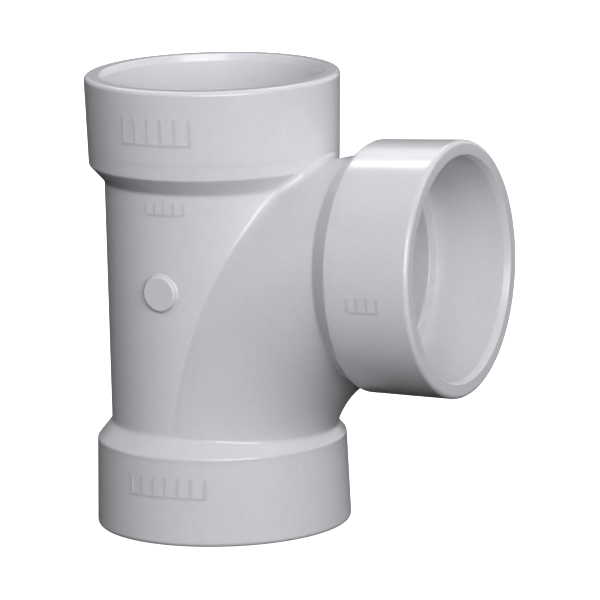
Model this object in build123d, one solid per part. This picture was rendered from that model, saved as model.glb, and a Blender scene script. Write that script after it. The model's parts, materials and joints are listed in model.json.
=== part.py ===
from build123d import *
import math
import os

# Sanitary tee for 1-1/2 in drain, waste and vent pipe, all three ends sockets.
# Frame: the run lies on Z, flow falls towards -Z, the branch leaves towards +X and the gate pad faces -Y.
# Origin: on the run axis, where the end of the lower pipe seats on its stop.

PIPE_R = 48.26 / 2            # pipe outside radius, 1.900 in
SOCKET_R = 24.17              # mean of the tapered socket, 48.56 mm at the mouth and 48.11 mm at the stop
SOCKET_DEPTH = 17.5           # 11/16 in
LEAD_R = 0.5                  # lead-in at each mouth, measured on the radius
LEAD_L = 1.5                  # lead-in at each mouth, measured along the socket
HUB_R = 27.95                 # hub outside radius at the mouth
HUB_BASE_R = 27.4             # hub outside radius where it meets its shoulder, after the mould draft
RIM_ROUND = 1.0               # rounding of the rim's outer edge
BARREL_R = 24.1               # outside radius of the barrel and of the sweep
BORE_R = 20.4                 # waterway radius

HUB_L = 19.4                  # straight length of the upper and lower hubs
BRANCH_HUB_L = 19.9           # straight length of the branch hub
LOWER_SHOULDER_L = 4.0        # cone from the lower hub in to the barrel
UPPER_SHOULDER_L = 3.7        # cone from the upper hub in to the barrel
BRANCH_SHOULDER_L = 4.1       # cone from the branch hub in to the sweep

Z_BOTTOM = -SOCKET_DEPTH                      # lower mouth
TOTAL_H = 99.8
Z_TOP = Z_BOTTOM + TOTAL_H                    # upper mouth
Z_UPPER_STOP = Z_TOP - SOCKET_DEPTH           # where the upper pipe seats
Z_LOWER_BASE = Z_BOTTOM + HUB_L               # top of the lower hub
Z_BARREL_LOW = Z_LOWER_BASE + LOWER_SHOULDER_L
Z_UPPER_BASE = Z_TOP - HUB_L                  # foot of the upper hub
Z_BARREL_HIGH = Z_UPPER_BASE - UPPER_SHOULDER_L

BRANCH_RISE = math.degrees(math.atan(0.25 / 12))    # the branch climbs 1/4 in per foot, 1.19 degrees
Z_BRANCH = Z_BOTTOM + 58.4                    # where the branch axis crosses the run axis
BRANCH_MOUTH = 59.3                           # run axis to the branch mouth, along the branch
BRANCH_STOP = BRANCH_MOUTH - SOCKET_DEPTH

SWEEP_R = 47.5                                # centreline radius of the sweep
Z_SWEEP = Z_BOTTOM + 12.7                     # height of the sweep's centre of curvature
SWEEP_ARC = 81.0                              # degrees, until the top of the sweep is under the branch cone
BRANCH_BORE = 35.5                            # where the straight bore takes over, along the branch

GATE_R = 3.9                                  # round pad over the moulding gate
GATE_PROUD = 1.0
GATE_ANGLE = -3.4                             # degrees round from -Y
Z_GATE = Z_BOTTOM + 55.0

MARK_PROUD = 0.10                             # height of the raised marks


def revolved(points):
    """Solid of revolution about Z from (radius, height) points."""
    with BuildPart() as built:
        with BuildSketch(Plane.XZ):
            with BuildLine():
                Polyline(*points, close=True)
            make_face()
        revolve(axis=Axis.Z)
    return built.part


def hub_blank(mouth, base, grow=0.0):
    """Hub outside, from the mouth's height to the base's height, with a rounded rim."""
    way = 1 if mouth > base else -1
    rim = RIM_ROUND
    with BuildPart() as built:
        with BuildSketch(Plane.XZ):
            with BuildLine():
                outer = HUB_R + grow
                start = (outer, mouth - way * rim)
                sag = rim * (1 - math.cos(math.pi / 4))
                middle = (outer - sag, mouth - way * sag)
                end = (outer - rim, mouth)
                Polyline((0, mouth), (0, base), (HUB_BASE_R + grow, base), start)
                ThreePointArc(start, middle, end)
                Line(end, (0, mouth))
            make_face()
        revolve(axis=Axis.Z)
    return built.part


def shoulder_blank(base, neck):
    """Cone from the hub's base in to the barrel."""
    return revolved([(0, base), (HUB_BASE_R, base), (BARREL_R, neck), (0, neck)])


def socket_void(mouth, stop):
    """Socket with its lead-in, from the mouth's height to the stop's height."""
    way = 1 if mouth > stop else -1
    past = mouth + way * 1.0
    lead = mouth - way * LEAD_L
    return revolved([(0, past), (SOCKET_R + LEAD_R, past), (SOCKET_R + LEAD_R, mouth),
                     (SOCKET_R, lead), (SOCKET_R, stop), (0, stop)])


def on_branch(shape):
    """Carry a shape built on Z to the branch: +Z becomes the way out of the branch."""
    return Pos(0, 0, Z_BRANCH) * Rot(0, 90 - BRANCH_RISE, 0) * shape


def sweep_tube(radius):
    """Curved tube that carries the branch down into the run."""
    with BuildPart() as built:
        with BuildSketch(Plane(origin=(0, 0, Z_SWEEP), x_dir=(1, 0, 0), z_dir=(0, 0, 1))):
            Circle(radius)
        revolve(axis=Axis((SWEEP_R, 0, Z_SWEEP), (0, 1, 0)), revolution_arc=SWEEP_ARC)
    return built.part


def slab(low, high, half=80.0):
    """Block that keeps what lies between two heights."""
    return Pos(0, 0, (low + high) / 2) * Box(2 * half, 2 * half, high - low)


# Outsides
upper_hub_out = hub_blank(Z_TOP, Z_UPPER_BASE)
lower_hub_out = hub_blank(Z_BOTTOM, Z_LOWER_BASE)
upper_shoulder_out = shoulder_blank(Z_UPPER_BASE, Z_BARREL_HIGH)
lower_shoulder_out = shoulder_blank(Z_LOWER_BASE, Z_BARREL_LOW)
barrel_out = Pos(0, 0, (Z_BARREL_LOW + Z_BARREL_HIGH) / 2) * Cylinder(BARREL_R, Z_BARREL_HIGH - Z_BARREL_LOW)
run_out = upper_hub_out + lower_hub_out + upper_shoulder_out + lower_shoulder_out + barrel_out

branch_base = BRANCH_MOUTH - BRANCH_HUB_L
branch_hub_out = on_branch(hub_blank(BRANCH_MOUTH, branch_base))
branch_shoulder_out = on_branch(shoulder_blank(branch_base, branch_base - BRANCH_SHOULDER_L))
sweep_out = sweep_tube(BARREL_R)

# Insides
run_void = socket_void(Z_TOP, Z_UPPER_STOP) + socket_void(Z_BOTTOM, 0.0)
run_void += Pos(0, 0, TOTAL_H / 2 + Z_BOTTOM) * Cylinder(BORE_R, TOTAL_H)
branch_void = on_branch(socket_void(BRANCH_MOUTH, BRANCH_STOP))
branch_bore = on_branch(Pos(0, 0, (BRANCH_BORE + BRANCH_STOP + 1.0) / 2)
                        * Cylinder(BORE_R, BRANCH_STOP + 1.0 - BRANCH_BORE))
sweep_void = sweep_tube(BORE_R)
void = run_void + branch_void + branch_bore + sweep_void

parts = {}
parts["upper_hub"] = upper_hub_out & slab(Z_UPPER_STOP, Z_TOP + 1)
parts["upper_stop_shoulder"] = (upper_hub_out & slab(Z_UPPER_BASE - 1, Z_UPPER_STOP)) + upper_shoulder_out
parts["lower_hub"] = lower_hub_out & slab(Z_BOTTOM - 1, 0.0)
parts["lower_stop_shoulder"] = (lower_hub_out & slab(0.0, Z_LOWER_BASE + 1)) + lower_shoulder_out
parts["run_barrel"] = barrel_out
for name in list(parts):
    parts[name] = parts[name] - void

branch_end = on_branch(slab(BRANCH_STOP, BRANCH_MOUTH + 1))
branch_foot = on_branch(slab(branch_base - BRANCH_SHOULDER_L - 1, BRANCH_STOP))
parts["branch_hub"] = (branch_hub_out & branch_end) - void
parts["branch_stop_shoulder"] = ((branch_hub_out & branch_foot) + branch_shoulder_out) - void
parts["branch_sweep"] = sweep_out - run_out - branch_hub_out - branch_shoulder_out - void


def gate_pad():
    """Low round pad with a softened edge, seated on the barrel."""
    face = BARREL_R + GATE_PROUD
    blank = Pos(0, 0, face / 2) * Cylinder(GATE_R, face)
    blank = fillet(blank.edges().filter_by(GeomType.CIRCLE).sort_by(Axis.Z)[-1], 0.4)
    placed = Pos(0, 0, Z_GATE) * Rot(0, 0, GATE_ANGLE) * Rot(90, 0, 0) * blank
    return placed - barrel_out


parts["gate_pad"] = gate_pad()


def tick_row(count, pitch, height, bar=0.55):
    """Plain generic mark: a base line with evenly spaced upright ticks."""
    length = (count - 1) * pitch + bar
    with BuildSketch() as drawn:
        with Locations((0, bar / 2)):
            Rectangle(length, bar)
        for index in range(count):
            with Locations(((index - (count - 1) / 2) * pitch, height / 2)):
                Rectangle(bar, height)
    return drawn.sketch


def mark_on(skin, body, sketch, origin, out, along):
    """Raise a flat sketch off a curved wall: keep what lies between the wall and a skin just outside it."""
    plane = Plane(origin=origin, x_dir=along, z_dir=out)
    block = extrude(plane * sketch, amount=40.0)
    return (block & skin) - body


def polar(angle):
    """Unit vector round the run from -Y towards +X, and the way along the wall there."""
    a = math.radians(angle)
    return (math.sin(a), -math.cos(a), 0.0), (math.cos(a), math.sin(a), 0.0)


upper_skin = hub_blank(Z_TOP, Z_UPPER_BASE, grow=MARK_PROUD)
lower_skin = hub_blank(Z_BOTTOM, Z_LOWER_BASE, grow=MARK_PROUD)
barrel_skin = Pos(0, 0, (Z_BARREL_LOW + Z_BARREL_HIGH) / 2) * Cylinder(BARREL_R + MARK_PROUD, 50.0)
branch_skin = on_branch(hub_blank(BRANCH_MOUTH, branch_base, grow=MARK_PROUD))

out, along = polar(0)
upper_mark = tick_row(6, 3.2, 6.0)
lower_mark = tick_row(7, 3.0, 4.5)
barrel_mark = tick_row(5, 2.2, 3.0)
parts["upper_hub_mark"] = mark_on(upper_skin, upper_hub_out, upper_mark, (0, 0, Z_TOP - 12.0), out, along)
parts["lower_hub_mark"] = mark_on(lower_skin, lower_hub_out, lower_mark, (0, 0, Z_BOTTOM + 10.5), out, along)
parts["barrel_mark"] = mark_on(barrel_skin, barrel_out, barrel_mark, (0, 0, Z_BOTTOM + 72.0), out, along)
axis_out = (math.cos(math.radians(BRANCH_RISE)), 0.0, math.sin(math.radians(BRANCH_RISE)))
mark_x = 48.5
parts["branch_hub_mark"] = mark_on(branch_skin, branch_hub_out, tick_row(4, 2.4, 3.5),
                                   (mark_x, 0, Z_BRANCH + mark_x * math.tan(math.radians(BRANCH_RISE)) - 5.0),
                                   (0, -1, 0), axis_out)

os.makedirs("parts", exist_ok=True)
for name, shape in parts.items():
    solids = shape.solids()
    print(name, len(solids), round(sum(s.volume for s in solids), 1))
    export_step(solids[0] if len(solids) == 1 else shape, f"parts/{name}.step")
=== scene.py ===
import json
import math

import bpy
import numpy as np
from mathutils import Matrix, Vector


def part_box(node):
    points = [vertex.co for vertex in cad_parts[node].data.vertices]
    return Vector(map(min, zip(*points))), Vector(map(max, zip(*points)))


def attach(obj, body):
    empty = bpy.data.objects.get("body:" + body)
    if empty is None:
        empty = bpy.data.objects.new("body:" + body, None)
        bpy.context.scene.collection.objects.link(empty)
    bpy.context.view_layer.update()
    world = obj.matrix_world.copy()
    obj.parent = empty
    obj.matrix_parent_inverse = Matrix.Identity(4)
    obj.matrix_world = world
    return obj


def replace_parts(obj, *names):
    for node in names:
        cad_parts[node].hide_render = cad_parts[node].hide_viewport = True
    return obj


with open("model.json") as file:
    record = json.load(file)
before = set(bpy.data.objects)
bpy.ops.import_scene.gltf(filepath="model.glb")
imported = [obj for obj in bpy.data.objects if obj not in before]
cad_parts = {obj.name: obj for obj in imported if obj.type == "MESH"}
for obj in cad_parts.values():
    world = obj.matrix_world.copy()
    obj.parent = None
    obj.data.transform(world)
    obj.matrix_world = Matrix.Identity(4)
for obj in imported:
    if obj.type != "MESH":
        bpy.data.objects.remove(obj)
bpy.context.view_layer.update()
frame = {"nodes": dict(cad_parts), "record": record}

# Sanitary tee for 1-1/2 in drain pipe: a run of pipe with a socket at each end, and a branch that sweeps
# down into it. Shapes are worked out in millimetres in the CAD frame, and the meshes are made in metres.
MM = 0.001

# ---------------------------------------------------------------- driving dimensions, from the frame


def extent(node):
    """Lowest and highest corner of a CAD node, in millimetres."""
    return [np.round(np.array(corner) / MM, 2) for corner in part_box(node)]


Z_UPPER_STOP, Z_TOP = extent("upper_hub")[0][2], extent("upper_hub")[1][2]
Z_BOTTOM, Z_LOWER_STOP = extent("lower_hub")[0][2], extent("lower_hub")[1][2]
Z_BARREL_LOW, Z_BARREL_HIGH = extent("run_barrel")[0][2], extent("run_barrel")[1][2]
gate_low, gate_high = extent("gate_pad")

mounts = {mount["name"]: mount for mount in frame["record"]["mounts"]}
branch = mounts["branch_socket"]
SOCKET_R = branch["dims"]["r_mm"]
BRANCH_OUT = np.array(branch["axis"]) / np.linalg.norm(branch["axis"])
branch_stop_at = np.array(branch["pos_m"]) / MM
BRANCH_STOP = branch_stop_at[0] / BRANCH_OUT[0]
BRANCH_FOOT = branch_stop_at - BRANCH_OUT * BRANCH_STOP      # where the branch axis crosses the run axis
SOCKET_DEPTH = Z_TOP - Z_UPPER_STOP
BRANCH_MOUTH = BRANCH_STOP + SOCKET_DEPTH

HUB_R = 27.95                        # hub outside radius at the mouth
HUB_BASE_R = 27.4                    # and at its foot, after the mould draft
BARREL_R = 24.1
BORE_R = 20.4                        # waterway
HUB_L = 19.4                         # straight length of the run's hubs
BRANCH_HUB_L = 19.9                  # straight length of the branch hub
BRANCH_BASE = BRANCH_MOUTH - BRANCH_HUB_L
BRANCH_CONE_L = 4.1
LEAD_R, LEAD_L = 0.5, 1.5            # lead-in at each mouth
SWEEP_R = 47.5                       # centreline radius of the sweep
Z_SWEEP = Z_BOTTOM + 12.7            # height of its centre of curvature
SWEEP_ARC = math.radians(81.0)       # until the top of the sweep is under the branch cone
SWEEP_BORE_ARC = math.radians(80.2)  # until the top of its bore meets the straight bore
BRANCH_BORE = 35.5                   # where the straight bore takes over, along the branch

RIM_ROUND = 1.0                      # outer edge of each rim
LAND_ROUND = 0.25                    # inner edge of each rim, where the lead-in starts
LEAD_ROUND = 1.2                     # end of the lead-in
FOOT_ROUND = 0.7                     # hub's foot, where the cone starts
CONE_FILLET = 1.6                    # cone into barrel
CREASE_FILLET = 1.3                  # sweep into barrel, cones and hub
BORE_FILLET = 0.5                    # sweep's bore into the run's bore
STOP_ROUND = 0.25                    # edges of the pipe stops

NET_STEP = 0.55                      # spacing of the surface net on the body
NET_ROOM_LOW = (0.6, 0.6, 2.0)       # how far the net's grid runs on past the body, on the low sides
NET_ROOM_HIGH = (1.0, 0.6, 2.0)      # and on the high sides
SIDES = 320                          # facets round a turned piece
FACET_L = 2.5                        # longest straight facet along a turned piece's outline
FACET_ARC = math.radians(11)         # longest arc facet
TANGENT = 0.9995                     # two surfaces count as tangent above this cosine


# ---------------------------------------------------------------- outlines with rounded corners


class Outline:
    """Closed outline from (x, y, radius) corners: straight sides joined by arcs."""

    def __init__(self, corners):
        where = [np.array(c[:2], float) for c in corners]
        count = len(corners)
        area = sum(a[0] * b[1] - b[0] * a[1] for a, b in zip(where, where[1:] + where[:1]))
        self.turn = 1.0 if area > 0 else -1.0
        self.arcs, self.lines = [], []
        starts, ends = [], []
        for i, here in enumerate(where):
            to_last, to_next = where[i - 1] - here, where[(i + 1) % count] - here
            to_last, to_next = to_last / np.linalg.norm(to_last), to_next / np.linalg.norm(to_next)
            radius = max(corners[i][2], 1e-4)
            half = math.acos(np.clip(to_last @ to_next, -1, 1)) / 2
            setback = radius / math.tan(half)
            middle = (to_last + to_next) / np.linalg.norm(to_last + to_next)
            centre = here + middle * (radius / math.sin(half))
            cross = to_next[0] * to_last[1] - to_next[1] * to_last[0]
            sense = 1.0 if cross * self.turn > 0 else -1.0
            reach = math.cos(math.pi / 2 - half)
            self.arcs.append((centre, radius, -middle, reach, sense, corners[i][2] > 0))
            ends.append(here + to_last * setback)
            starts.append(here + to_next * setback)
        for i in range(count):
            p, q = starts[i], ends[(i + 1) % count]
            side = (q - p) / np.linalg.norm(q - p)
            self.lines.append((p, q, np.array((side[1], -side[0])) * self.turn))

    def field(self, q):
        """Signed distance from points q, negative inside, and the way it grows."""
        best = np.full(len(q), np.inf)
        signed = np.zeros(len(q))
        normal = np.zeros_like(q)
        for a, b, n in self.lines:
            side = b - a
            t = np.clip(((q - a) @ side) / (side @ side), 0, 1)
            gap = q - a - t[:, None] * side
            d = np.sqrt(np.einsum("ij,ij->i", gap, gap))
            nearer = d < best
            best[nearer] = d[nearer]
            signed[nearer] = (np.where(gap @ n > 0, d, -d))[nearer]
            normal[nearer] = n
        for centre, radius, middle, reach, sense, _ in self.arcs:
            v = q - centre
            far = np.sqrt(np.einsum("ij,ij->i", v, v))
            d = np.abs(far - radius)
            nearer = (d <= best + 1e-12) & (v @ middle >= far * reach - 1e-9)
            best[nearer] = d[nearer]
            signed[nearer] = sense * (far - radius)[nearer]
            normal[nearer] = sense * v[nearer] / np.maximum(far[nearer], 1e-9)[:, None]
        return signed, normal

    def pieces(self, longest, arc_step):
        """Short straight pieces round the outline: (start, its normal, end, its normal)."""
        made = []
        for i in range(len(self.lines)):
            centre, radius, _, _, sense, is_round = self.arcs[i]
            a, b = self.lines[i - 1][1], self.lines[i][0]
            if is_round:
                start = math.atan2(*(a - centre)[::-1])
                sweep = (math.atan2(*(b - centre)[::-1]) - start + math.pi) % (2 * math.pi) - math.pi
                steps = max(3, math.ceil(abs(sweep) / arc_step))
                angles = [start + sweep * k / steps for k in range(steps + 1)]
                ring = [np.array((math.cos(angle), math.sin(angle))) for angle in angles]
                for u, v in zip(ring, ring[1:]):
                    made.append((centre + radius * u, sense * u, centre + radius * v, sense * v))
            a, b, n = self.lines[i]
            steps = max(1, math.ceil(np.linalg.norm(b - a) / longest))
            for k in range(steps):
                made.append((a + (b - a) * k / steps, n, a + (b - a) * (k + 1) / steps, n))
        return made


# ---------------------------------------------------------------- solid fields: (distance, outward normal)


def turned(outline, foot, axis):
    """Field of a solid of revolution: its outline's x is the radius and y the distance along the axis."""
    def field(p):
        along = (p - foot) @ axis
        out = p - foot - along[:, None] * axis
        radius = np.linalg.norm(out, axis=1)
        d, n = outline.field(np.stack([radius, along], 1))
        unit = out / np.maximum(radius, 1e-9)[:, None]
        return d, n[:, :1] * unit + n[:, 1:] * axis
    return field


def sweep_tube(tube, arc):
    """Field of the curved tube from the run round to the branch."""
    way_out = np.array((math.sin(arc), 0.0, math.cos(arc)))

    def field(p):
        x, z = p[:, 0] - SWEEP_R, p[:, 2] - Z_SWEEP
        reach = np.hypot(x, z)
        off = reach - SWEEP_R
        radius = np.maximum(np.hypot(off, p[:, 1]), 1e-9)
        d = radius - tube
        n = np.stack([off * x / reach, p[:, 1], off * z / reach], 1) / radius[:, None]
        for end, way in ((-z, -UP), (x * way_out[0] + z * way_out[2], way_out)):
            past = end > d
            d = np.where(past, end, d)
            n = np.where(past[:, None], way, n)
        return d, n
    return field


def joined(one, other, radius):
    """Union of two fields with a rolling-ball fillet, which vanishes where the surfaces are tangent."""
    (a, na), (b, nb) = one, other
    first = a < b
    d = np.where(first, a, b)
    n = np.where(first[:, None], na, nb)
    if radius <= 0:
        return d, n
    c = np.einsum("ij,ij->i", na, nb)
    u, v = a - radius, b - radius
    s = np.maximum(1 - c * c, 1e-6)
    alpha, beta = (u - c * v) / s, (v - c * u) / s
    fillet = (alpha < 0) & (beta < 0) & (c < TANGENT)
    gap = alpha[:, None] * na + beta[:, None] * nb
    reach = np.maximum(np.linalg.norm(gap, axis=1), 1e-9)
    d = np.where(fillet, radius - reach, d)
    n = np.where(fillet[:, None], -gap / reach[:, None], n)
    return d, n


# ---------------------------------------------------------------- the moulding

UP = np.array((0.0, 0.0, 1.0))
ACROSS = np.array((0.0, 1.0, 0.0))
ORIGIN = np.zeros(3)
INNER = -60.0                        # the outlines close well past the axis, so that the axis isn't a wall
PAST = 6.0                           # and voids run on past the mouths
BURIED = 1.6                         # the branch's cone runs on, in proportion, under the sweep's skin
CONE_END = BRANCH_BASE - BURIED * BRANCH_CONE_L
CONE_END_R = HUB_BASE_R - BURIED * (HUB_BASE_R - BARREL_R)

run_outside = turned(Outline([
    (INNER, Z_BOTTOM, 0), (HUB_R, Z_BOTTOM, RIM_ROUND), (HUB_BASE_R, Z_BOTTOM + HUB_L, FOOT_ROUND),
    (BARREL_R, Z_BARREL_LOW, CONE_FILLET), (BARREL_R, Z_BARREL_HIGH, CONE_FILLET),
    (HUB_BASE_R, Z_TOP - HUB_L, FOOT_ROUND), (HUB_R, Z_TOP, RIM_ROUND), (INNER, Z_TOP, 0)]), ORIGIN, UP)
run_inside = turned(Outline([
    (INNER, Z_BOTTOM - PAST, 0), (SOCKET_R, Z_BOTTOM - PAST, 0), (SOCKET_R, Z_LOWER_STOP, STOP_ROUND),
    (BORE_R, Z_LOWER_STOP, STOP_ROUND), (BORE_R, Z_UPPER_STOP, STOP_ROUND),
    (SOCKET_R, Z_UPPER_STOP, STOP_ROUND), (SOCKET_R, Z_TOP + PAST, 0), (INNER, Z_TOP + PAST, 0)]), ORIGIN, UP)
branch_outside = turned(Outline([
    (INNER, CONE_END, 0), (CONE_END_R, CONE_END, 0), (HUB_BASE_R, BRANCH_BASE, FOOT_ROUND),
    (HUB_R, BRANCH_MOUTH, RIM_ROUND), (INNER, BRANCH_MOUTH, 0)]), BRANCH_FOOT, BRANCH_OUT)
branch_inside = turned(Outline([
    (INNER, BRANCH_BORE, 0), (BORE_R, BRANCH_BORE, 0), (BORE_R, BRANCH_STOP, STOP_ROUND),
    (SOCKET_R, BRANCH_STOP, STOP_ROUND), (SOCKET_R, BRANCH_MOUTH + PAST, 0),
    (INNER, BRANCH_MOUTH + PAST, 0)]), BRANCH_FOOT, BRANCH_OUT)
sweep_outside = sweep_tube(BARREL_R, SWEEP_ARC)
sweep_inside = sweep_tube(BORE_R, SWEEP_BORE_ARC)


def body(p):
    """The whole moulding as one field."""
    outside = joined(run_outside(p), sweep_outside(p), CREASE_FILLET)
    outside = joined(outside, branch_outside(p), CREASE_FILLET)
    inside = joined(run_inside(p), sweep_inside(p), BORE_FILLET)
    inside = joined(inside, branch_inside(p), 0)
    wall = outside[0] > -inside[0]
    return np.where(wall, outside[0], -inside[0]), np.where(wall[:, None], outside[1], -inside[1])


# ---------------------------------------------------------------- surface net


def grid_points(*axes):
    """Every combination of the coordinates along three axes."""
    return np.stack(np.meshgrid(*axes, indexing="ij"), -1).reshape(-1, 3)


def sampled(field, axes, step, block=4, batch=3000):
    """Field values over a grid. Blocks that the surface can't reach keep their middle's value."""
    shape = tuple(len(a) for a in axes)
    values = np.empty(shape)
    corners = grid_points(*[np.arange(0, n, block) for n in shape])
    ends = np.minimum(corners + block, shape)
    centres = np.stack([(axes[k][corners[:, k]] + axes[k][ends[:, k] - 1]) / 2 for k in range(3)], 1)
    middle, _ = field(centres)
    reach = step * block * math.sqrt(3) / 2 + step
    wanted = []
    for corner, end, d in zip(corners, ends, middle):
        place = tuple(slice(c, e) for c, e in zip(corner, end))
        values[place] = d
        if abs(d) < reach:
            wanted.append(place)
    for first in range(0, len(wanted), batch):
        places = wanted[first:first + batch]
        points = [grid_points(*[axes[k][s] for k, s in enumerate(place)]) for place in places]
        d, _ = field(np.concatenate(points))
        at = 0
        for place, some in zip(places, points):
            values[place] = d[at:at + len(some)].reshape(values[place].shape)
            at += len(some)
    return values


def pulled(field, points, times, stride=0.5):
    """Moves points onto the field's zero surface, by at most a stride at a time."""
    for _ in range(times):
        d, n = field(points)
        points = points - np.clip(d, -stride, stride)[:, None] * n
    return points


def relaxed(points, quads):
    """Moves each vertex halfway to the middle of its neighbours."""
    total, count = np.zeros_like(points), np.zeros(len(points))
    for k in range(4):
        a, b = quads[:, k], quads[:, (k + 1) % 4]
        for one, two in ((a, b), (b, a)):
            count += np.bincount(one, minlength=len(points))
            for axis in range(3):
                total[:, axis] += np.bincount(one, weights=points[two, axis], minlength=len(points))
    return points + 0.5 * (total / np.maximum(count, 1)[:, None] - points)


def surface_net(field, low, high, step, rounds=3):
    """Quads over the field's zero surface, from one vertex in each cell that it crosses, evened out."""
    axes = [np.arange(low[k], high[k] + step, step) for k in range(3)]
    values = sampled(field, axes, step)
    cells = np.array(values.shape) - 1
    rings, flips, crossings = [], [], []
    for axis in range(3):
        one, two = [slice(None)] * 3, [slice(None)] * 3
        one[axis], two[axis] = slice(0, -1), slice(1, None)
        a, b = values[tuple(one)], values[tuple(two)]
        crossed = np.argwhere((a < 0) != (b < 0))
        others = [k for k in range(3) if k != axis]
        inner = (crossed[:, others] > 0) & (crossed[:, others] < cells[others])
        crossed = crossed[np.all(inner, axis=1)]
        va, vb = a[tuple(crossed.T)], b[tuple(crossed.T)]
        point = np.stack([axes[k][crossed[:, k]] for k in range(3)], 1)
        point[:, axis] += step * va / (va - vb)
        ring = np.repeat(crossed[:, None, :], 4, axis=1)
        for k, (du, dv) in enumerate(((-1, -1), (0, -1), (0, 0), (-1, 0))):
            ring[:, k, others[0]] += du
            ring[:, k, others[1]] += dv
        rings.append(ring)
        flips.append((va < 0) == (axis == 1))
        crossings.append(np.repeat(point[:, None, :], 4, axis=1))
    ring, flip = np.concatenate(rings), np.concatenate(flips)
    where = np.concatenate(crossings).reshape(-1, 3)
    key = np.ravel_multi_index(tuple(ring.reshape(-1, 3).T), tuple(cells))
    _, vertex = np.unique(key, return_inverse=True)
    vertex = vertex.ravel()
    count = np.bincount(vertex)
    points = np.stack([np.bincount(vertex, weights=where[:, k]) / count for k in range(3)], 1)
    quads = vertex.reshape(-1, 4)
    quads[flip] = quads[flip][:, ::-1]
    for _ in range(rounds):
        points = relaxed(pulled(field, points, 1), quads)
    return pulled(field, points, 3), quads


def split(points, faces, values):
    """Cuts triangles along the line where values, given per point, pass zero, and tells which are above it."""
    above = values > 0
    sides = above[faces]
    mixed = (sides.sum(axis=1) % 3) > 0
    clear, crossed = faces[~mixed], faces[mixed]
    inside = sides[mixed]
    lone_is_above = inside.sum(axis=1) == 1
    lone = np.where(lone_is_above, np.argmax(inside, axis=1), np.argmin(inside, axis=1))
    rows = np.arange(len(crossed))
    a, b, c = crossed[rows, lone], crossed[rows, (lone + 1) % 3], crossed[rows, (lone + 2) % 3]
    edges = np.sort(np.concatenate([np.stack([a, b], 1), np.stack([a, c], 1)]), axis=1)
    unique, number = np.unique(edges, axis=0, return_inverse=True)
    number = number.ravel() + len(points)
    u, v = unique.T
    t = values[u] / (values[u] - values[v])
    points = np.concatenate([points, points[u] + (points[v] - points[u]) * t[:, None]])
    ab, ac = number[:len(crossed)], number[len(crossed):]
    tip, near, far = np.stack([a, ab, ac], 1), np.stack([ab, b, c], 1), np.stack([ab, c, ac], 1)
    faces = np.concatenate([clear, tip, near, far])
    upper = np.concatenate([above[clear[:, 0]], lone_is_above, ~lone_is_above, ~lone_is_above])
    return points, faces, upper


def cut(mesh, measure):
    """Splits a mesh in two along the zero line of a measure: (below, above)."""
    where, faces = mesh
    where, faces, above = split(where, faces, measure(where))
    where = pulled(body, where, 1)
    return (where, faces[~above]), (where, faces[above])


def trimmed(mesh, measure):
    """Keeps the part of a mesh where a measure is below zero."""
    return cut(mesh, measure)[0]


# ---------------------------------------------------------------- PVC


def pvc_material(name):
    """Light grey rigid PVC off a mould: faint flow clouds, a fine skin, slow waves and a soft, uneven gloss."""
    material = bpy.data.materials.new(name)
    material.use_nodes = True
    nodes, links = material.node_tree.nodes, material.node_tree.links
    shader = nodes["Principled BSDF"]
    place = nodes.new("ShaderNodeTexCoord").outputs["Object"]

    def noise(scale, detail, roughness=0.5, stretch=(1, 1, 1)):
        mapping = nodes.new("ShaderNodeMapping")
        mapping.inputs["Scale"].default_value = stretch
        links.new(place, mapping.inputs["Vector"])
        made = nodes.new("ShaderNodeTexNoise")
        made.inputs["Scale"].default_value = scale
        made.inputs["Detail"].default_value = detail
        made.inputs["Roughness"].default_value = roughness
        links.new(mapping.outputs["Vector"], made.inputs["Vector"])
        return made.outputs["Fac"]

    def ramp(source, *stops):
        made = nodes.new("ShaderNodeValToRGB")
        made.color_ramp.elements[0].position, made.color_ramp.elements[0].color = stops[0]
        made.color_ramp.elements[1].position, made.color_ramp.elements[1].color = stops[-1]
        for position, colour in stops[1:-1]:
            made.color_ramp.elements.new(position).color = colour
        links.new(source, made.inputs["Fac"])
        return made.outputs["Color"]

    def bumped(height, strength, distance, below=None):
        made = nodes.new("ShaderNodeBump")
        made.inputs["Strength"].default_value = strength
        made.inputs["Distance"].default_value = distance
        links.new(height, made.inputs["Height"])
        if below:
            links.new(below, made.inputs["Normal"])
        return made.outputs["Normal"]

    clouds = ramp(noise(45, 3), (0.25, PVC_DARK), (0.75, PVC_LIGHT))
    specks = ramp(noise(900, 3), (0.35, (0.975, 0.975, 0.975, 1)), (0.6, (1, 1, 1, 1)))
    tint = nodes.new("ShaderNodeMixRGB")
    tint.blend_type = "MULTIPLY"
    tint.inputs["Fac"].default_value = 1.0
    links.new(clouds, tint.inputs["Color1"])
    links.new(specks, tint.inputs["Color2"])
    links.new(tint.outputs["Color"], shader.inputs["Base Color"])
    drawn_up = (1, 1, 0.5)
    gloss = ramp(noise(90, 3, 0.5, drawn_up), (0.2, (GLOSS_LOW,) * 3 + (1,)), (0.8, (GLOSS_HIGH,) * 3 + (1,)))
    links.new(gloss, shader.inputs["Roughness"])
    skin = bumped(noise(1800, 3), strength=0.12, distance=0.00003)
    waves = bumped(noise(60, 1, 0.4, drawn_up), strength=0.15, distance=0.0001, below=skin)
    links.new(waves, shader.inputs["Normal"])
    shader.inputs["IOR"].default_value = 1.53
    shader.inputs["Subsurface Weight"].default_value = 0.2
    shader.inputs["Subsurface Scale"].default_value = 0.002
    shader.inputs["Subsurface Radius"].default_value = (1.0, 1.0, 1.0)
    return material


PVC_DARK = (0.706, 0.701, 0.740, 1)
PVC_LIGHT = (0.736, 0.731, 0.771, 1)
GLOSS_LOW, GLOSS_HIGH = 0.17, 0.24
pvc = pvc_material("pvc_moulded")


# ---------------------------------------------------------------- meshes and pieces


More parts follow.
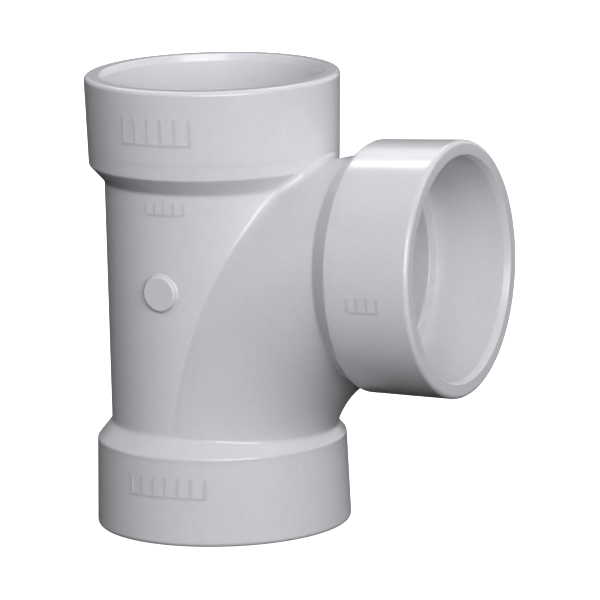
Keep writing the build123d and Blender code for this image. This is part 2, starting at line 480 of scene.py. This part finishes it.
def add_piece(name, points, faces, corner_normals):
    """Mesh object from millimetre points, with its shading normals given per face corner."""
    mesh = bpy.data.meshes.new(name)
    mesh.from_pydata((np.asarray(points) * MM).tolist(), [], [list(map(int, face)) for face in faces])
    mesh.polygons.foreach_set("use_smooth", [True] * len(mesh.polygons))
    mesh.normals_split_custom_set(np.asarray(corner_normals).tolist())
    mesh.update()
    piece = bpy.data.objects.new(name, mesh)
    bpy.context.scene.collection.objects.link(piece)
    mesh.materials.append(pvc)
    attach(piece, "root")
    return piece


def lathe(name, outline, foot, axis, across):
    """Closed ring turned from an outline: x is the radius and y the distance along the axis."""
    steps = outline.pieces(longest=FACET_L, arc_step=FACET_ARC)
    side = np.cross(axis, across)
    angle = np.arange(SIDES) * 2 * math.pi / SIDES
    way = np.cos(angle)[:, None] * across + np.sin(angle)[:, None] * side
    points = np.concatenate([foot + start[0] * way + start[1] * axis for start, _, _, _ in steps])
    faces, normals = [], []
    for k, (_, n_start, _, n_end) in enumerate(steps):
        following = (k + 1) % len(steps)
        for i in range(SIDES):
            j = (i + 1) % SIDES
            faces.append((k * SIDES + i, following * SIDES + i, following * SIDES + j, k * SIDES + j))
            normals += [n_start[0] * way[i] + n_start[1] * axis, n_end[0] * way[i] + n_end[1] * axis,
                        n_end[0] * way[j] + n_end[1] * axis, n_start[0] * way[j] + n_start[1] * axis]
    if outline.turn > 0:
        faces = [face[::-1] for face in faces]
        normals = [normals[4 * k + m] for k in range(len(faces)) for m in (3, 2, 1, 0)]
    return add_piece(name, points, faces, normals)


def on_hub(mouth, at, length):
    """Point on a hub's outside, after the mould draft: (radius, place along the axis)."""
    return HUB_R + (HUB_BASE_R - HUB_R) * abs(at - mouth) / length, at


# The body's net is trimmed where each hub's turned ring takes over. A seam passes through the wall, from
# (radius, place) on the outside to (radius, place) on the inside, and stays off the stops' edges.
SEAM_OFF = 1.2
SEAM_DEEP = 2.2
UPPER_SEAM = (on_hub(Z_TOP, Z_UPPER_STOP + SEAM_OFF, HUB_L), (BORE_R, Z_UPPER_STOP - SEAM_DEEP))
LOWER_SEAM = (on_hub(Z_BOTTOM, Z_LOWER_STOP + SEAM_OFF, HUB_L), (BORE_R + SEAM_DEEP, Z_LOWER_STOP))
BRANCH_SEAM = (on_hub(BRANCH_MOUTH, BRANCH_STOP - SEAM_OFF, BRANCH_HUB_L), (BORE_R, BRANCH_STOP - SEAM_OFF))


def beyond(seam, radius, place):
    """How far a point is past a seam, along the axis."""
    (r1, z1), (r2, z2) = seam
    return place - (z2 + (radius - r2) * (z1 - z2) / (r1 - r2))


def branch_place(p):
    """Distance from the branch's axis, and place along it."""
    along = (p - BRANCH_FOOT) @ BRANCH_OUT
    return np.linalg.norm(p - BRANCH_FOOT - along[:, None] * BRANCH_OUT, axis=1), along


def run_or_branch(p):
    """Positive on the branch's side of the crease."""
    return run_outside(p)[0] - np.minimum(sweep_outside(p)[0], branch_outside(p)[0])


def net_piece(name, mesh):
    """Piece from a part of the net, shaded by the field's own normals."""
    where, faces = mesh
    used, number = np.unique(faces, return_inverse=True)
    where, faces = where[used], number.reshape(-1, 3)
    sides = [np.linalg.norm(where[faces[:, k]] - where[faces[:, (k + 1) % 3]], axis=1) for k in range(3)]
    faces = faces[np.min(sides, axis=0) > 1e-6]
    _, normals = body(where)
    return add_piece(name, where, faces, normals[faces.reshape(-1)])


net_low = np.array((-HUB_R, -HUB_R, Z_LOWER_STOP)) - NET_ROOM_LOW
net_high = np.array((BRANCH_STOP, HUB_R, BRANCH_FOOT[2] + HUB_R)) + NET_ROOM_HIGH
points, quads = surface_net(body, net_low, net_high, NET_STEP)
triangles = np.concatenate([quads[:, [0, 1, 2]], quads[:, [0, 2, 3]]])
whole = (points, triangles)
whole = trimmed(whole, lambda p: beyond(UPPER_SEAM, np.hypot(p[:, 0], p[:, 1]), p[:, 2]))
whole = trimmed(whole, lambda p: -beyond(LOWER_SEAM, np.hypot(p[:, 0], p[:, 1]), p[:, 2]))
whole = trimmed(whole, lambda p: beyond(BRANCH_SEAM, *branch_place(p)))
run, arm = cut(whole, run_or_branch)
run, upper = cut(run, lambda p: p[:, 2] - Z_BARREL_HIGH)
lower, barrel = cut(run, lambda p: p[:, 2] - Z_BARREL_LOW)
sweep, neck = cut(arm, lambda p: branch_place(p)[1] - (BRANCH_BASE - BRANCH_CONE_L))

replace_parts(net_piece("upper_stop_shoulder_moulding", upper), "upper_stop_shoulder")
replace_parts(net_piece("lower_stop_shoulder_moulding", lower), "lower_stop_shoulder")
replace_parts(net_piece("run_barrel_moulding", barrel), "run_barrel")
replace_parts(net_piece("branch_stop_shoulder_moulding", neck), "branch_stop_shoulder")
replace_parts(net_piece("branch_sweep_moulding", sweep), "branch_sweep")

upper_ring = Outline([
    UPPER_SEAM[0] + (0,), (HUB_R, Z_TOP, RIM_ROUND), (SOCKET_R + LEAD_R, Z_TOP, LAND_ROUND),
    (SOCKET_R, Z_TOP - LEAD_L, LEAD_ROUND), (SOCKET_R, Z_UPPER_STOP, STOP_ROUND),
    (BORE_R, Z_UPPER_STOP, STOP_ROUND), UPPER_SEAM[1] + (0,)])
lower_ring = Outline([
    LOWER_SEAM[0] + (0,), (HUB_R, Z_BOTTOM, RIM_ROUND), (SOCKET_R + LEAD_R, Z_BOTTOM, LAND_ROUND),
    (SOCKET_R, Z_BOTTOM + LEAD_L, LEAD_ROUND), (SOCKET_R, Z_LOWER_STOP, STOP_ROUND), LOWER_SEAM[1] + (0,)])
branch_ring = Outline([
    BRANCH_SEAM[0] + (0,), (HUB_R, BRANCH_MOUTH, RIM_ROUND), (SOCKET_R + LEAD_R, BRANCH_MOUTH, LAND_ROUND),
    (SOCKET_R, BRANCH_MOUTH - LEAD_L, LEAD_ROUND), (SOCKET_R, BRANCH_STOP, STOP_ROUND),
    (BORE_R, BRANCH_STOP, STOP_ROUND), BRANCH_SEAM[1] + (0,)])
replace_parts(lathe("upper_hub_moulding", upper_ring, ORIGIN, UP, ACROSS), "upper_hub")
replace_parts(lathe("lower_hub_moulding", lower_ring, ORIGIN, UP, ACROSS), "lower_hub")
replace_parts(lathe("branch_hub_moulding", branch_ring, BRANCH_FOOT, BRANCH_OUT, ACROSS), "branch_hub")

# ---------------------------------------------------------------- gate pad and marks

GATE_R, GATE_PROUD = 3.9, 1.0        # round pad over the moulding gate
GATE_EDGE = 0.45                     # rounding of its top edge
GATE_FOOT = 0.5                      # fillet at its foot
GATE_FLAT = 0.5                      # its flat top stops this far in from its side
GATE_TUCK = 0.04                     # its outermost ring dips this far under the barrel's skin
GATE_ROOT = 0.4                      # and its closed back lies this much deeper
GATE_ANGLE = math.radians(-3.4)
GATE_OUT = np.array((math.sin(GATE_ANGLE), -math.cos(GATE_ANGLE), 0.0))
GATE_SIDE = np.array((math.cos(GATE_ANGLE), math.sin(GATE_ANGLE), 0.0))
GATE_Z = (gate_low[2] + gate_high[2]) / 2
GATE_TURNS = 120
# Rings of the foot fillet: (out from the pad's side, up from the barrel).
GATE_SKIRT = ((0.0, 0.5), (0.04, 0.32), (0.14, 0.16), (0.3, 0.06), (0.5, 0.0), (0.75, 0.0), (1.1, 0.0))
gate_solid = turned(Outline([(INNER, 0, 0), (GATE_R, 0, 0), (GATE_R, BARREL_R + GATE_PROUD, GATE_EDGE),
                             (INNER, BARREL_R + GATE_PROUD, 0)]), GATE_Z * UP, GATE_OUT)


def gate_field(p):
    """Field of the barrel and the pad, with the fillet between them."""
    return joined(run_outside(p), gate_solid(p), GATE_FOOT)


def gate_pad():
    """Round pad, grown out of the barrel with a small fillet at its foot and closed inside the wall."""
    angle = np.arange(GATE_TURNS) * 2 * math.pi / GATE_TURNS
    way = np.cos(angle)[:, None] * GATE_SIDE + np.sin(angle)[:, None] * UP
    rings = []

    def height(radius):
        """Barrel's own height under a ring, measured along the pad's axis."""
        return np.sqrt(BARREL_R ** 2 - (radius * np.cos(angle)) ** 2)

    top = [(r, 0.0) for r in np.linspace(0.3, GATE_R - GATE_FLAT, 8)]
    edge = [(GATE_R - GATE_EDGE * (1 - math.sin(t)), -GATE_EDGE * (1 - math.cos(t)))
            for t in np.linspace(0.1, math.pi / 2, 6)]
    for radius, drop in top + edge:
        rings.append(GATE_Z * UP + radius * way + (BARREL_R + GATE_PROUD + drop) * GATE_OUT)
    for out, lift in GATE_SKIRT:
        radius = GATE_R + out
        rings.append(GATE_Z * UP + radius * way + (height(radius) + lift)[:, None] * GATE_OUT)
    rings = [pulled(gate_field, ring, 3) for ring in rings]
    normals = [gate_field(ring)[1] for ring in rings]
    rings[-1] = rings[-1] - GATE_TUCK * normals[-1]
    middle = GATE_Z * UP + (BARREL_R + GATE_PROUD) * GATE_OUT
    points = np.concatenate([middle[None]] + rings)
    facing = np.concatenate([GATE_OUT[None]] + normals)
    first = len(points)
    points = np.concatenate([points, rings[-1] - GATE_ROOT * GATE_OUT])
    faces, corners = [], []
    for i in range(GATE_TURNS):
        j = (i + 1) % GATE_TURNS
        faces.append((0, 1 + i, 1 + j))
        corners += [facing[0], facing[1 + i], facing[1 + j]]
        for k in range(len(rings) - 1):
            a, b = 1 + k * GATE_TURNS, 1 + (k + 1) * GATE_TURNS
            faces.append((a + i, b + i, b + j, a + j))
            corners += [facing[a + i], facing[b + i], facing[b + j], facing[a + j]]
        a = 1 + (len(rings) - 1) * GATE_TURNS
        faces.append((a + i, first + i, first + j, a + j))
        corners += [way[i], way[i], way[j], way[j]]
    faces.append(tuple(first + i for i in range(GATE_TURNS))[::-1])
    corners += [-GATE_OUT] * GATE_TURNS
    return add_piece("gate_pad_moulding", points, faces, corners)


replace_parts(gate_pad(), "gate_pad")

MARK_SOFT = 0.12                     # softening of the raised marks' edges
for node in ("upper_hub_mark", "lower_hub_mark", "barrel_mark", "branch_hub_mark"):
    shown = frame["nodes"][node]
    for place in shown.material_slots:
        place.material = pvc
    soft = shown.modifiers.new("soft_edges", "BEVEL")
    soft.width = MARK_SOFT * MM
    soft.segments = 2
    soft.limit_method = "ANGLE"
    soft.angle_limit = math.radians(40)
    soft.harden_normals = False


# ---------------------------------------------------------------- studio

EYE_AZIMUTH, EYE_RISE, EYE_ROLL = math.radians(26.81), math.radians(11.366), math.radians(-1.547)
EYE_DISTANCE = 1.350855
AIM = (-0.018127, 0.010167)          # how far the frame's middle is from the picture's, across and up
AIM_Z = -Z_BOTTOM * MM + 0.02442     # height that the distance is measured from
LENS = 370.491
LIT_MIDDLE = Vector((0.012, 0, 0.035))    # what every lamp faces
FLOOR_R = 3.0
FLOOR_SIDES = 96
FLOOR_Z = (Z_BOTTOM - 0.05) * MM     # a hair under the rim, so that the two never share a plane


def far_side(azimuth, rise):
    """Unit vector towards a viewer: azimuth goes from -Y towards +X."""
    return Vector((math.sin(azimuth) * math.cos(rise), -math.cos(azimuth) * math.cos(rise), math.sin(rise)))


back = far_side(EYE_AZIMUTH, EYE_RISE)
right = Vector((math.cos(EYE_AZIMUTH), math.sin(EYE_AZIMUTH), 0))
up = back.cross(right)
rolled_right = right * math.cos(EYE_ROLL) + up * math.sin(EYE_ROLL)
rolled_up = up * math.cos(EYE_ROLL) - right * math.sin(EYE_ROLL)
eye = back * EYE_DISTANCE - rolled_right * AIM[0] - rolled_up * AIM[1] + Vector((0, 0, AIM_Z))
camera_data = bpy.data.cameras.new("camera")
camera_data.sensor_width = 36.0
camera_data.lens = LENS
camera_data.clip_start, camera_data.clip_end = 0.05, 20.0
camera = bpy.data.objects.new("camera", camera_data)
camera.matrix_world = Matrix.Translation(eye) @ Matrix((rolled_right, rolled_up, back)).transposed().to_4x4()
bpy.context.scene.collection.objects.link(camera)
bpy.context.scene.camera = camera

bpy.context.scene.view_settings.view_transform = "Standard"
bpy.context.scene.view_settings.look = "None"

world = bpy.data.worlds.new("studio")
world.use_nodes = True
world.node_tree.nodes["Background"].inputs["Color"].default_value = (1, 1, 1, 1)
world.node_tree.nodes["Background"].inputs["Strength"].default_value = 1.0
world.cycles_visibility.diffuse = False
world.cycles_visibility.glossy = False
bpy.context.scene.world = world

floor_mesh = bpy.data.meshes.new("floor")
floor_angles = np.linspace(0, 2 * math.pi, FLOOR_SIDES, endpoint=False)
floor_mesh.from_pydata([(FLOOR_R * math.cos(a), FLOOR_R * math.sin(a), FLOOR_Z) for a in floor_angles],
                       [], [tuple(range(FLOOR_SIDES))])
floor = bpy.data.objects.new("floor", floor_mesh)
bpy.context.scene.collection.objects.link(floor)
paper = bpy.data.materials.new("white_paper")
paper.use_nodes = True
paper_shader = paper.node_tree.nodes["Principled BSDF"]
paper_shader.inputs["Base Color"].default_value = (0.9, 0.9, 0.9, 1)
paper_shader.inputs["Roughness"].default_value = 0.9
paper_shader.inputs["Emission Color"].default_value = (1, 1, 1, 1)
paper_shader.inputs["Emission Strength"].default_value = 1.0
floor_mesh.materials.append(paper)
floor.visible_diffuse = False
floor.visible_glossy = False


def softbox(name, azimuth, rise, distance, width, height, power, along=None):
    """Area lamp facing the middle of the fitting, its width level or along a given direction."""
    lamp = bpy.data.lights.new(name, "AREA")
    lamp.shape = "RECTANGLE"
    lamp.size, lamp.size_y, lamp.energy = width, height, power
    made = bpy.data.objects.new(name, lamp)
    way = far_side(math.radians(azimuth), math.radians(rise))
    made.location = way * distance + LIT_MIDDLE
    across = Vector((0, 0, 1)).cross(way) if along is None else Vector(along)
    across = (across - across.dot(way) * way).normalized()
    made.rotation_euler = Matrix((across, way.cross(across), way)).transposed().to_euler()
    bpy.context.scene.collection.objects.link(made)


softbox("key", 36, 20, 1.5, 1.2, 0.9, 18.2)
softbox("front_right", 62, 8, 1.5, 0.8, 0.9, 3.2)
softbox("front_left", -8, 42, 1.5, 1.0, 0.8, 2.6)
softbox("left", -52, 15, 1.5, 1.0, 0.9, 1.7)
softbox("left_high", -78, 50, 1.5, 1.2, 0.8, 1.6)
softbox("right_back", 125, 20, 1.5, 0.9, 0.9, 2.4)
softbox("right_high", 120, 55, 1.5, 0.9, 0.9, 2.8)
softbox("back", 162, 12, 1.5, 0.9, 0.9, 2.8)
softbox("back_high", 176, 52, 1.5, 0.9, 0.8, 4.0)
softbox("back_left", 210, 44, 1.5, 0.9, 0.6, 3.0)
softbox("back_fill", 238, 30, 1.8, 1.8, 1.4, 3.2)
softbox("strip", 232.6, 51.5, 1.5, 0.6, 0.13, 2.9, along=BRANCH_OUT)
